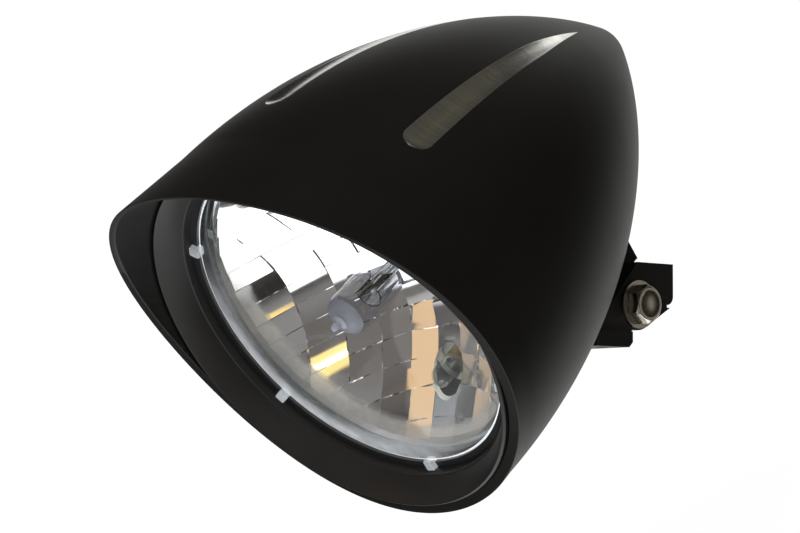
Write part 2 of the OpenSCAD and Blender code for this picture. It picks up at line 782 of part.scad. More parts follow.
// Lug screws: two socket heads inside the housing
module lug_screws() {
    color(bare_metal) lamp_frame() for (b = lug_screw_backs)
        translate([0, -lug_flat(b) + lug_washer_t, -b]) rotate([90, 0, 0]) difference() {
            union() {
                cylinder(r = lug_screw_r, h = lug_screw_length, $fn = 48);
                translate([0, 0, -lug_head_h]) cylinder(r = lug_head_r, h = lug_head_h, $fn = 48);
            }
            translate([0, 0, -2 * lug_head_h])
                cylinder(r = corner_r(lug_socket_af), h = 1.5 * lug_head_h, $fn = 6);
        }
}

// Lug washers: one under each screw head
module lug_washers() {
    color(bare_metal) lamp_frame() for (b = lug_screw_backs)
        translate([0, -lug_flat(b) + lug_washer_t, -b]) rotate([90, 0, 0]) difference() {
            cylinder(r = lug_washer_r, h = lug_washer_t, $fn = 48);
            translate([0, 0, -lug_washer_t])
                cylinder(r = lug_screw_r + slip, h = 3 * lug_washer_t, $fn = 48);
        }
}

// Pivot bush: the bronze sleeve pressed into the tongue
module pivot_bush() {
    color(brass_yellow) pivot_frame()
        ring_x(bush_r, bolt_r + running, -tongue_half, tongue_half);
}

// Friction washers: thin rings between the tongue and the cheeks
module friction_washers() {
    color(bare_metal) pivot_frame() for (s = [-1, 1])
        ring_x(tongue_r - 0.5, bolt_r + hole_gap,
            s > 0 ? slot_half - friction_t : -slot_half,
            s > 0 ? slot_half : -slot_half + friction_t);
}

// Outline of a cheek: round at the pivot, square at the upper rear, joined to the foot
module cheek_outline() {
    low_corner = [cheek_rear, 0.5];
    low_touch = touch(low_corner, cheek_r, -1);
    corner = 3.5;
    circle(r = cheek_r);
    difference() {
        polygon([
            [cheek_rear, cheek_top], [0.5, cheek_top], [-foot_front + 8, -2],
            [-foot_front + 2, -seat_drop + foot_t], [-foot_rear + 1, -seat_drop + foot_t],
            [0, 0], low_touch, low_corner]);
        translate([cheek_rear - corner, low_corner[1]]) difference() {
            translate([0, -1]) square([corner + 1, corner + 1]);
            translate([0, corner]) circle(r = corner);
        }
    }
}

// Bracket: two cheeks, a web between them at the rear and the foot under the front
module bracket() {
    foot_half = cheek_half + foot_proud;
    web_front = tongue_r + 2.5;
    color(black_satin) bracket_frame() difference() {
        union() {
            difference() {
                across(-cheek_half, cheek_half) cheek_outline();
                across(-slot_half, slot_half) difference() {
                    translate([-far / 2, -seat_drop + foot_t]) square([far, far]);
                    polygon([[web_front, 0.5], [cheek_rear, 0.5], [cheek_rear, cheek_top - 3.5],
                        [web_front, cheek_top - 6]]);
                }
            }
            across(-foot_half, foot_half) polygon([
                [-foot_front, -seat_drop], [-foot_rear - 2, -seat_drop], [-foot_rear, -seat_drop + 2],
                [-foot_rear, -seat_drop + foot_t], [-foot_front + 3, -seat_drop + foot_t],
                [-foot_front, -seat_drop + foot_t - 2.5]]);
        }
        rod(bolt_r + hole_gap, -far / 2, far / 2);
        for (s = [-1, 1]) translate([s * seat_bolt_spacing / 2, seat_mid, -seat_drop - 1])
            cylinder(r = seat_bolt_r, h = seat_bolt_depth + 1, $fn = 48);
    }
}

// Pivot bolt: a hexagon head on the +X side and a plain shank
module pivot_bolt() {
    head_x = cheek_half + washer_t;
    color(bare_metal) bracket_frame() {
        hex_rod(hex_af, head_x, head_x + head_h);
        rod(bolt_r, -head_x - nut_h - 2, head_x + tiny);
    }
}

// Pivot washers: one on each cheek
module pivot_washers() {
    color(bare_metal) bracket_frame() {
        ring_x(washer_r, bolt_r + hole_gap, cheek_half, cheek_half + washer_t);
        ring_x(washer_r, bolt_r + hole_gap, -cheek_half - washer_t, -cheek_half);
    }
}

// Pivot nut: the locking nut on the far side
module pivot_nut() {
    nut_x = -cheek_half - washer_t;
    color(bare_metal) bracket_frame() difference() {
        union() {
            hex_rod(hex_af, nut_x - nut_h + 2, nut_x);
            rod(hex_af / 2 - 0.4, nut_x - nut_h, nut_x - nut_h + 2 + tiny);
        }
        rod(bolt_r, nut_x - nut_h - 1, nut_x + 1);
    }
}

housing();
trim_ring();
lens_seal();
lens();
lens_bond();
reflector();
insert_gasket();
ring_lock_screw();
bulb_glass();
bulb_shield();
bulb_filaments();
bulb_flange();
bulb_insulator();
bulb_terminals();
bulb_clip();
rubber_boot();
city_bulb();
city_base();
city_holder();
wiring_grommet();
lamp_lug();
lug_screws();
lug_washers();
pivot_bush();
friction_washers();
bracket();
pivot_bolt();
pivot_washers();
pivot_nut();
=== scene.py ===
import math

import bmesh
import bpy
from mathutils import Matrix, Vector


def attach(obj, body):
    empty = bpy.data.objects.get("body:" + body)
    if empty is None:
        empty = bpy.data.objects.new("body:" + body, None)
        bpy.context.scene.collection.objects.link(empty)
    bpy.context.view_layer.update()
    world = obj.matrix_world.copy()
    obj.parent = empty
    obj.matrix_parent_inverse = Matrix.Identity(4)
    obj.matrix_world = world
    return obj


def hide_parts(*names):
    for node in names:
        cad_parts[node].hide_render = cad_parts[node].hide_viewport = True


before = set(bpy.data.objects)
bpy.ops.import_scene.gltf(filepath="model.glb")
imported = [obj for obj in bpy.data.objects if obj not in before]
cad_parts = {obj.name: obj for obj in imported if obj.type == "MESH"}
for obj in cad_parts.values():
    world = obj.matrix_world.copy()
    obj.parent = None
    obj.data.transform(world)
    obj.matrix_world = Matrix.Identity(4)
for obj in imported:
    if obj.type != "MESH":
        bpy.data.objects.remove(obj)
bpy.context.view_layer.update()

MM = 0.001

# Places from the middle of the lens's plane in mm, y backwards and z up. The middle of the
# bracket's seat, worked out from the pivot and the foot's rake, is the origin of the CAD.
RAKE = math.radians(39.3)
PIVOT = Vector((0.0, 102.5, -76.0))
SEAT_MID, SEAT_DROP = -14.0, 16.5
SEAT = PIVOT + Vector((0.0, SEAT_MID * math.cos(RAKE) - SEAT_DROP * math.sin(RAKE),
                       -SEAT_MID * math.sin(RAKE) - SEAT_DROP * math.cos(RAKE)))

# Body of the housing, as in the CAD, but with a thinner lip on the visor
OGIVE_R, BODY_R, OGIVE_START, TAIL_R = 257.0, 81.0, 9.0, 14.0
OGIVE_OFFSET = OGIVE_R - BODY_R
MOUTH_FLARE, MOUTH_LENGTH, LIP_WALL, LIP_BEVEL, WALL = 1.8, 33.0, 1.5, 0.25, 5.5
VISOR_INSIDE_START, VISOR_INSIDE_LENGTH = 19.0, 27.0
RING_BORE_R, RING_BORE_FRONT, SHOULDER_Z, SHOULDER_R = 77.1, 12.0, -10.5, 69.5
CAVITY_Z, TAIL_WALL = -16.0, 10.0
VISOR_R, CHIN_REACH, CHIN_DROP = 315.0, 15.2, 55.0
TAIL_CENTRE = OGIVE_START - math.sqrt((OGIVE_R - TAIL_R) ** 2 - OGIVE_OFFSET ** 2)

# Flutes: the angle between them, the ball and depth that give their width along the body,
# and the big round cutter that gives their floor, which is shallower than in the CAD
FLUTE_STEP, FLUTE_BALL_R, FLUTE_DEPTH, FLUTE_SINK = 45.0, 7.0, 3.2, 0.8
FLUTE_START, FLUTE_TIP, FLUTE_RUNOUT, CUTTER_R = 20.0, 136.0, 7.0, 16.0
FLUTE_TIP_OVERRUN, FLUTE_TAPER, FLUTE_WIDTH, FLUTE_NOSE = 2.2, 36.0, 0.93, 0.82

# Pivot of the bracket in the frame of the CAD, and its M8 hexagon
PIVOT_Y, PIVOT_Z, HEX_CORNER, HEX_TURN = 21.285, 3.901, 7.506, 50.7
HEAD_SEAT, HEAD_TOP, NUT_SEAT, NUT_TOP = 22.0, 27.3, -22.0, -30.0
SHANK_R, THREAD_ROOT_R, THREAD_START, THREAD_PITCH = 4.0, 3.45, -20.0, 1.25

# Lamp insert and trim ring
RING_BACK, RING_SKIRT_GAP = -3.6, 0.6
RING_LIP_R, RING_LIP_REACH, RING_EDGE_REACH, RING_R = 69.5, 8.6, 18.0, 77.0
LENS_FRONT, LENS_BACK, SEAL_T = 3.0, -0.5, 1.5
LENS_R, LENS_APEX, LENS_CURVE_R, LENS_T, INSERT_R = 66.0, 17.0, 168.0, 3.5, 72.5
MIRROR_R, FOCAL, VERTEX = 63.5, 24.0, -46.0
BULB_HOLE_R, BULB_R, CITY_DROP, CITY_PORT_R = 19.2, 8.5, 46.0, 9.5
NECK_R, NECK_FRONT, NECK_LENGTH, BULB_SEAT = 24.5, -43.0, 6.0, -48.0
FLANGE_FRONT, FLANGE_BACK = -1.1, -5.1
CITY_BACK, CITY_FRONT, CITY_WALL, CITY_LIP_R, CITY_LIP_Z = -37.6, -28.0, 2.0, 7.8, -31.1

# Bulb: a tube of glass with a flattened end
DOME_Z, DOME_H, GLASS_FOOT, GLASS_WALL = 1.5, 6.6, -42.0, 1.0


def lamp_point(x, y, z):
    """A point of the lamp's own frame, z forward along the optical axis and y up, in metres."""
    return Vector((x, -z, y)) * MM - SEAT * MM


FROM_LAMP = Matrix.Translation(-SEAT * MM) @ Matrix.Rotation(math.pi / 2, 4, "X") @ Matrix.Scale(MM, 4)


def polar(r, phi, z):
    """A point of the lamp's frame from a radius and an angle from the top towards +X, in degrees."""
    return lamp_point(r * math.sin(math.radians(phi)), r * math.cos(math.radians(phi)), z)


# Shader maths

class Socket:
    """An output socket that takes part in plain arithmetic."""

    def __init__(self, look, socket):
        self.look, self.socket = look, socket

    def _math(self, operation, a, b=None):
        return self.look.node("ShaderNodeMath", {"operation": operation}, [a] if b is None else [a, b])

    def __add__(self, other):
        return self._math("ADD", self, other)

    def __radd__(self, other):
        return self._math("ADD", other, self)

    def __sub__(self, other):
        return self._math("SUBTRACT", self, other)

    def __rsub__(self, other):
        return self._math("SUBTRACT", other, self)

    def __mul__(self, other):
        return self._math("MULTIPLY", self, other)

    def __rmul__(self, other):
        return self._math("MULTIPLY", other, self)

    def __truediv__(self, other):
        return self._math("DIVIDE", self, other)

    def __rtruediv__(self, other):
        return self._math("DIVIDE", other, self)

    def __pow__(self, other):
        return self._math("POWER", self, other)

    def __gt__(self, other):
        return self._math("GREATER_THAN", self, other)

    def __lt__(self, other):
        return self._math("LESS_THAN", self, other)


class Look:
    """A material, with one way to make each of its nodes."""

    def __init__(self, name, world=False):
        self.material = (bpy.data.worlds if world else bpy.data.materials).new(name)
        self.material.use_nodes = True
        self.tree = self.material.node_tree
        self.tree.nodes.clear()
        self.output = self.tree.nodes.new("ShaderNodeOutputWorld" if world else "ShaderNodeOutputMaterial")

    def node(self, kind, settings=None, inputs=None, out=0):
        made = self.tree.nodes.new(kind)
        for key, value in (settings or {}).items():
            if key == "stops":
                ramp = made.color_ramp
                while len(ramp.elements) < len(value):
                    ramp.elements.new(0.5)
                for element, (place, colour) in zip(ramp.elements, value):
                    element.position = place
                    element.color = (*colour, 1.0)
            else:
                setattr(made, key, value)
        pairs = inputs.items() if isinstance(inputs, dict) else enumerate(inputs or [])
        for key, value in pairs:
            self.feed(made.inputs[key], value)
        return Socket(self, made.outputs[out])

    def feed(self, socket, value):
        if isinstance(value, Socket):
            self.tree.links.new(value.socket, socket)
        elif socket.type == "RGBA" and len(value) == 3:
            socket.default_value = (*value, 1.0)
        else:
            socket.default_value = value

    def coordinates(self, scale=(1.0, 1.0, 1.0), move=(0.0, 0.0, 0.0)):
        place = self.node("ShaderNodeTexCoord", out="Object")
        return self.node("ShaderNodeMapping", inputs={"Vector": place, "Location": move, "Scale": scale})

    def across(self):
        """The place across the optical axis, to the side and up, and the radius, in metres."""
        where = self.coordinates(move=tuple(-c for c in lamp_point(0, 0, 0)))
        x, y = (self.node("ShaderNodeSeparateXYZ", inputs=[where], out=axis) for axis in (0, 2))
        return x, y, (x * x + y * y) ** 0.5

    def noise(self, where, scale, detail=3.0, roughness=0.55):
        return self.node("ShaderNodeTexNoise", inputs={
            "Vector": where, "Scale": scale, "Detail": detail, "Roughness": roughness})

    def rise(self, value, start, end, low=0.0, high=1.0):
        """A soft step of a value from its start to its end."""
        return self.node("ShaderNodeMapRange", {"interpolation_type": "SMOOTHSTEP"}, {
            "Value": value, "From Min": start, "From Max": end, "To Min": low, "To Max": high})

    def mix(self, factor, a, b):
        return self.node("ShaderNodeMixShader", inputs=[factor, a, b])

    def blend(self, factor, a, b):
        made = self.tree.nodes.new("ShaderNodeMix")
        made.data_type = "RGBA"
        self.feed(made.inputs[0], factor)
        self.feed(made.inputs[6], a)
        self.feed(made.inputs[7], b)
        return Socket(self, made.outputs[2])

    def bump(self, height, distance, strength=1.0):
        return self.node("ShaderNodeBump", inputs={
            "Height": height, "Distance": distance, "Strength": strength})

    def surface(self, **inputs):
        """A Principled shader as the whole look."""
        self.show(self.node("ShaderNodeBsdfPrincipled", inputs={
            key.replace("_", " "): value for key, value in inputs.items()}))

    def shown(self):
        """1 for what the camera sees straight, in a mirror or through glass."""
        straight, mirrored, through = (self.node("ShaderNodeLightPath", out=name) for name in (
            "Is Camera Ray", "Is Glossy Ray", "Is Transmission Ray"))
        return 1.0 - (1.0 - straight) * (1.0 - mirrored) * (1.0 - through)

    def show(self, shader):
        self.tree.links.new(shader.socket, self.output.inputs["Surface"])


class Rule:
    """A geometry node tree with named inputs, run once into a plain mesh."""

    def __init__(self, name, sizes):
        self.tree = bpy.data.node_groups.new(name, "GeometryNodeTree")
        self.tree.interface.new_socket("Geometry", in_out="OUTPUT", socket_type="NodeSocketGeometry")
        self.names = {}
        for key, value in sizes.items():
            kind = "NodeSocketInt" if isinstance(value, int) else "NodeSocketFloat"
            made = self.tree.interface.new_socket(key, in_out="INPUT", socket_type=kind)
            self.names[key] = made.identifier
        self.sizes = sizes
        self.inputs = self.tree.nodes.new("NodeGroupInput")
        self.outputs = self.tree.nodes.new("NodeGroupOutput")

    node = Look.node
    feed = Look.feed

    def size(self, key):
        return Socket(self, self.inputs.outputs[key])

    def mesh(self, geometry, material, name):
        """Ends the tree, sets its inputs and gives its result as a mesh."""
        plain = self.node("GeometryNodeRealizeInstances", inputs=[geometry])
        painted = self.node("GeometryNodeSetMaterial", inputs={"Geometry": plain, "Material": material})
        self.tree.links.new(painted.socket, self.outputs.inputs["Geometry"])
        obj = bpy.data.objects.new(name, bpy.data.meshes.new(name))
        bpy.context.scene.collection.objects.link(obj)
        modifier = obj.modifiers.new("rule", "NODES")
        modifier.node_group = self.tree
        for key, value in self.sizes.items():
            modifier[self.names[key]] = value
        graph = bpy.context.evaluated_depsgraph_get()
        made = bpy.data.meshes.new_from_object(obj.evaluated_get(graph), depsgraph=graph)
        obj.modifiers.remove(modifier)
        blank = obj.data
        bpy.data.objects.remove(obj)
        bpy.data.meshes.remove(blank)
        made.name = name
        return made


def satin_black(name, colour, roughness, grain=1.0):
    """Satin powder coat: near black, with a very fine orange peel and faint cloudiness."""
    look = Look(name)
    where = look.coordinates()
    cloud = look.noise(where, 60.0, 4.0)
    peel = look.noise(where, 2600.0 * grain, 2.0)
    base = look.blend(cloud, tuple(c * 0.85 for c in colour), tuple(c * 1.15 for c in colour))
    look.surface(Base_Color=base, Roughness=roughness - 0.03 + cloud * 0.06,
                 Specular_IOR_Level=0.22, Normal=look.bump(peel, 0.00003, 0.35))
    return look.material


def soft_rubber(name, colour=(0.012, 0.012, 0.012), roughness=0.6):
    """Rubber, plastic or a dull coat, with a little dust."""
    look = Look(name)
    where = look.coordinates()
    dust = look.noise(where, 140.0, 5.0)
    base = look.blend(dust, tuple(c * 0.8 for c in colour), tuple(c * 1.6 for c in colour))
    look.surface(Base_Color=base, Roughness=roughness + dust * 0.15,
                 Normal=look.bump(look.noise(where, 1800.0, 3.0), 0.00005, 0.4))
    return look.material


def machined(name, colour, roughness, line_scale):
    """Bare metal with fine tool lines along one direction."""
    look = Look(name)
    lines = look.noise(look.coordinates(scale=line_scale), 1.0, 2.0, 0.6)
    stain = look.noise(look.coordinates(), 90.0, 4.0)
    base = look.blend(lines * 0.6 + stain * 0.4, tuple(c * 0.78 for c in colour),
                      tuple(min(1.0, c * 1.12) for c in colour))
    look.surface(Base_Color=base, Metallic=1.0, Roughness=roughness - 0.06 + lines * 0.12,
                 Normal=look.bump(lines, 0.00002, 0.5))
    return look.material


def milled(name, colour, roughness):
    """Bare milled aluminium: fine lines across the groove, broad faint bands and a few stains."""
    look = Look(name)
    fine = look.noise(look.coordinates(scale=(25.0, 1300.0, 25.0)), 1.0, 4.0, 0.7)
    broad = look.noise(look.coordinates(scale=(8.0, 420.0, 8.0)), 1.0, 2.0, 0.5)
    stain = look.noise(look.coordinates(), 70.0, 5.0)
    base = look.blend(fine * 0.9 + broad * 0.3 - 0.1, tuple(c * 0.45 for c in colour),
                      tuple(min(1.0, c * 1.25) for c in colour))
    look.surface(Base_Color=base, Metallic=1.0, Roughness=roughness - 0.05 + stain * 0.10,
                 Normal=look.bump(fine * 0.6 + broad * 0.4, 0.00006, 0.5))
    return look.material


def mirrored(name):
    """Vapour-deposited aluminium under a clear varnish, with a dull pale grey band of painted light low on one
    side of the bowl's mouth.
    """
    look = Look(name)
    haze = look.noise(look.coordinates(), 35.0, 3.0)
    specks = look.noise(look.coordinates(), 300.0, 2.0)
    x, y, radius = look.across()
    # Painted light: where this mask is high, low on one side of the mouth, a pale dull grey is mixed over the
    # mirror.
    painted_light_side = look.rise((x * -0.6 - y * 0.8) / (radius + 0.001), -0.2, 0.8)
    mouth = painted_light_side * look.rise(radius, 0.0588, 0.0612)
    polish = look.node("ShaderNodeBsdfPrincipled", inputs={
        "Base Color": look.blend(haze, (0.86, 0.86, 0.87), (0.95, 0.95, 0.95)), "Metallic": 1.0,
        "Roughness": 0.04 + haze * 0.03 + mouth * 0.2})
    plain = look.node("ShaderNodeBsdfPrincipled", inputs={
        "Base Color": look.blend(specks, (0.45, 0.44, 0.415), (0.55, 0.535, 0.505)), "Roughness": 0.6})
    look.show(look.mix(mouth * (0.48 + specks * 0.14), polish, plain))
    return look.material


def clear_pane(name, tint, strength, roughness=0.02):
    """Thin clear glass: seen straight through, with a reflection that grows at grazing angles."""
    look = Look(name)
    through = look.node("ShaderNodeBsdfTransparent", inputs={"Color": tint})
    gloss = look.node("ShaderNodeBsdfGlossy", inputs={"Color": (1.0, 1.0, 1.0), "Roughness": roughness})
    rim = look.node("ShaderNodeFresnel", inputs={"IOR": 1.45})
    outside = 1.0 - look.node("ShaderNodeNewGeometry", out="Backfacing")
    look.show(look.mix(rim * outside * strength, through, gloss))
    return look.material


def moulded_lens(name):
    """The lens: clear in the middle, with a pale veil of painted light towards its thick rim, strongest low on
    one side.
    """
    look = Look(name)
    through = look.node("ShaderNodeBsdfTransparent", inputs={"Color": (0.985, 0.99, 0.99)})
    gloss = look.node("ShaderNodeBsdfGlossy", inputs={"Color": (1.0, 1.0, 1.0), "Roughness": 0.02})
    outside = 1.0 - look.node("ShaderNodeNewGeometry", out="Backfacing")
    pane = look.mix(look.node("ShaderNodeFresnel", inputs={"IOR": 1.25}) * outside, through, gloss)
    x, y, radius = look.across()
    # Painted light: a pale diffuse veil near the rim, stronger on the low side, mixed over the clear glass.
    rim = look.rise(radius, 0.047, 0.0630)
    side = look.rise((x * -0.75 - y * 0.66) / (radius + 0.001), 0.25, 0.95, 0.05, 1.0)
    streaks = look.noise(look.coordinates(scale=(160.0, 30.0, 160.0)), 1.0, 3.0)
    painted_light_veil = look.node("ShaderNodeBsdfDiffuse", inputs={"Color": (0.90, 0.93, 0.97)})
    look.show(look.mix(rim * side * (0.34 + streaks * 0.7) * outside, pane, painted_light_veil))
    return look.material


def ground_glass(name, least, most, dull=(0.55, 0.58, 0.61), pale=(0.86, 0.88, 0.90), painted_glow=0.05):
    """The lens's moulded skirt and lugs: half clear and cloudy, with a painted glow (an emission) for light
    gathered in the glass.
    """
    look = Look(name)
    cloud = look.noise(look.coordinates(), 220.0, 3.0)
    through = look.node("ShaderNodeBsdfTransparent", inputs={"Color": (0.95, 0.97, 0.98)})
    tone = look.blend(cloud, dull, pale)
    # Painted light: the emission makes the glass glow as if light gathered in it.
    body = look.node("ShaderNodeBsdfPrincipled", inputs={
        "Base Color": tone, "Roughness": 0.16 + cloud * 0.1, "Emission Color": tone, "Emission Strength": painted_glow})
    look.show(look.mix(least + cloud * (most - least), through, body))
    return look.material


# Mesh helpers

def piece(name, mesh, material, body="lamp", replaces=(), sharp=35.0):
    """A finished piece of the part on its body. Without a material it keeps those of its mesh."""
    obj = bpy.data.objects.new(name, mesh)
    bpy.context.scene.collection.objects.link(obj)
    if material is not None:
        mesh.materials.clear()
        mesh.materials.append(material)
        for polygon in mesh.polygons:
            polygon.material_index = 0
    smooth(mesh, sharp)
    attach(obj, body)
    if replaces:
        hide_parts(*replaces)
    return obj


def revolved(name, outline, segments=192, closed=True, place=lamp_point):
    """An outline of (radius, z) turned about an axis, by default the optical one."""
    bm = bmesh.new()
    rings = []
    for r, z in outline:
        if r < 1e-6:
            rings.append([bm.verts.new(place(0.0, 0.0, z))])
        else:
            rings.append([bm.verts.new(place(
                r * math.sin(2 * math.pi * k / segments),
                r * math.cos(2 * math.pi * k / segments), z)) for k in range(segments)])
    for a, b in zip(rings, rings[1:] + (rings[:1] if closed else [])):
        for k in range(segments):
            n = (k + 1) % segments
            if len(a) == 1:
                bm.faces.new((a[0], b[n], b[k]))
            elif len(b) == 1:
                bm.faces.new((a[k], a[n], b[0]))
            else:
                bm.faces.new((a[k], a[n], b[n], b[k]))
    return finished(bm, name)


def wall_between(bm, rings):
    """Faces from each ring of corners to the next."""
    for a, b in zip(rings, rings[1:]):
        for k in range(len(a)):
            n = (k + 1) % len(a)
            bm.faces.new((a[k], a[n], b[n], b[k]))


def finished(bm, name):
    """A plain mesh of it, with its faces outwards."""
    bmesh.ops.recalc_face_normals(bm, faces=bm.faces)
    mesh = bpy.data.meshes.new(name)
    bm.to_mesh(mesh)
    bm.free()
    return mesh


def loose(mesh):
    """An object of a mesh, at the origin."""
    obj = bpy.data.objects.new(mesh.name, mesh)
    bpy.context.scene.collection.objects.link(obj)
    return obj


def boolean(obj, others, operation="DIFFERENCE"):
    """Joins other solids to a piece or cuts them out of it, and leaves a plain mesh."""
    for other in others:
        modifier = obj.modifiers.new("solid", "BOOLEAN")
        modifier.operation = operation
        modifier.solver = "EXACT"
        modifier.material_mode = "TRANSFER"
        modifier.object = other
    graph = bpy.context.evaluated_depsgraph_get()
    mesh = bpy.data.meshes.new_from_object(obj.evaluated_get(graph), depsgraph=graph)
    obj.modifiers.clear()
    old = obj.data
    obj.data = mesh
    bpy.data.meshes.remove(old)
    for other in others:
        bpy.data.objects.remove(other)
    return obj


def smooth(mesh, sharp):
    """Smooth shading, with edges kept sharp past an angle."""
    for polygon in mesh.polygons:
        polygon.use_smooth = True
    mesh.set_sharp_from_angle(angle=math.radians(sharp))


def body_at(z):
    """Radius of the body's outside at a distance z forward of the lens plane."""
    if z > OGIVE_START:
        return BODY_R + MOUTH_FLARE * (z - OGIVE_START) / MOUTH_LENGTH
    return math.sqrt(OGIVE_R ** 2 - (z - OGIVE_START) ** 2) - OGIVE_OFFSET


def rim_at(r, phi):
    """How far forward the visor's edge reaches at a radius and an angle."""
    y = r * math.cos(math.radians(phi))
    return CHIN_REACH + VISOR_R - math.sqrt(VISOR_R ** 2 - (y + CHIN_DROP) ** 2)


def inner_at(z):
    """Radius of the visor's inside at a distance z forward of the lens plane."""
    lip = body_at(VISOR_INSIDE_START + VISOR_INSIDE_LENGTH) - LIP_WALL
    t = min(1.0, max(0.0, (z - VISOR_INSIDE_START) / VISOR_INSIDE_LENGTH))
    return RING_BORE_R + (lip - RING_BORE_R) * t


def edge_from(r, wall_at, phi):
    """Where a wall of the visor meets its edge at an angle: its radius and how far forward."""
    for _ in range(12):
        rim = rim_at(r, phi)
        r = wall_at(rim)
    return r, rim


def flute_cutter(turn):
    """A shallow groove of a big round cutter along an arc, narrower and shallower towards its tip."""
    floor_r = OGIVE_R - FLUTE_DEPTH - FLUTE_SINK
    path_z = OGIVE_START - FLUTE_RUNOUT
    above = 6.0

    def station(z, narrow):
        body = body_at(z)
        depth = max(0.01, body - math.sqrt(floor_r ** 2 - (z - path_z) ** 2) + OGIVE_OFFSET)
        taper = math.sqrt(min(1.0, max(0.0, z + FLUTE_TIP + FLUTE_TIP_OVERRUN + 0.1) / FLUTE_TAPER))
        width = FLUTE_WIDTH * math.sqrt(2 * FLUTE_BALL_R * depth - depth * depth)
        half = max(0.02, width * narrow * taper)
        edge = math.sqrt(body * body - half * half) + math.sqrt(CUTTER_R ** 2 - half * half)
        across = [half * k / 8 for k in range(8, -9, -1)]
        arc = [(x, edge - math.sqrt(CUTTER_R ** 2 - x * x)) for x in across]
        return [(half, body + above)] + arc + [(-half, body + above)], z

    nose = FLUTE_BALL_R * FLUTE_NOSE
    stations = [station(-FLUTE_START + nose * math.sin(math.radians(g)), math.cos(math.radians(g)))
                for g in (88, 84, 78, 70, 62, 54, 46, 38, 30, 20, 10)]
    length, steps = FLUTE_TIP + FLUTE_TIP_OVERRUN - FLUTE_START, 60
    stations += [station(-FLUTE_START - length * i / steps, 1.0) for i in range(steps + 1)]
    turned = math.radians(turn)
    bm = bmesh.new()
    rings = [[bm.verts.new(lamp_point(x * math.cos(turned) + y * math.sin(turned),
                                      y * math.cos(turned) - x * math.sin(turned), z))
              for x, y in ring] for ring, z in stations]
    wall_between(bm, rings)
    bm.faces.new(rings[0])
    bm.faces.new(rings[-1][::-1])
    mesh = finished(bm, "flute_cutter")
    mesh.materials.append(bare_flute)
    smooth(mesh, 180)
    return loose(mesh)


# Finishes

# The lens's thick foot: a pale glass with a strong emission, a painted glint along its edge.
lens_foot_painted_glint = ground_glass("lens_foot_painted_glint", 0.8, 1.0, (0.80, 0.84, 0.88), (0.97, 0.98, 1.0), 0.8)
flange_glass = clear_pane("flange_glass", (0.90, 0.93, 0.94), 2.0, 0.05)
# The lugs glow a little with a painted light, an emission.
lug_glass_painted_glow = ground_glass("lug_glass_painted_glow", 0.15, 0.65, painted_glow=0.2)
cap_coat = soft_rubber("bulb_cap_coat", (0.17, 0.175, 0.205), 0.4)
nipple_glass = soft_rubber("nipple_glass", (0.27, 0.28, 0.33), 0.18)
bare_flute = milled("flute_bare_metal", (0.86, 0.84, 0.78), 0.2)
housing_black = satin_black("housing_black", (0.0045, 0.0041, 0.0036), 0.46)
ring_black = satin_black("ring_black", (0.011, 0.0102, 0.0096), 0.42)
bracket_black = satin_black("bracket_black", (0.007, 0.0062, 0.006), 0.45, 0.7)
rubber = soft_rubber("black_rubber")
seal_rubber = soft_rubber("seal_rubber", (0.008, 0.008, 0.008), 0.3)
mirror = mirrored("mirror_coat")
lens_glass = moulded_lens("lens_glass")
city_glass = clear_pane("city_glass", (0.92, 0.95, 0.92), 3.0, 0.05)
# The city light port's wall: a pale dull grey painted in place of the mirror, standing in for its reflections.
port_painted_reflection = soft_rubber("port_painted_reflection", (0.74, 0.76, 0.71), 0.2)
holder_rubber = soft_rubber("holder_rubber", (0.34, 0.36, 0.33), 0.45)
bulb_clear = clear_pane("bulb_clear", (0.95, 0.96, 0.98), 0.8)
stainless = machined("stainless", (0.56, 0.53, 0.47), 0.22, (700.0, 700.0, 700.0))
plated = machined("plated_steel", (0.66, 0.66, 0.64), 0.22, (1200.0, 300.0, 1200.0))
brass = machined("brass", (0.78, 0.60, 0.28), 0.3, (800.0, 200.0, 800.0))
bronze = machined("bush_bronze", (0.60, 0.42, 0.22), 0.35, (800.0, 800.0, 800.0))
plastic = soft_rubber("black_plastic", (0.02, 0.02, 0.02), 0.4)
sealant = soft_rubber("grey_sealant", (0.05, 0.05, 0.05), 0.5)


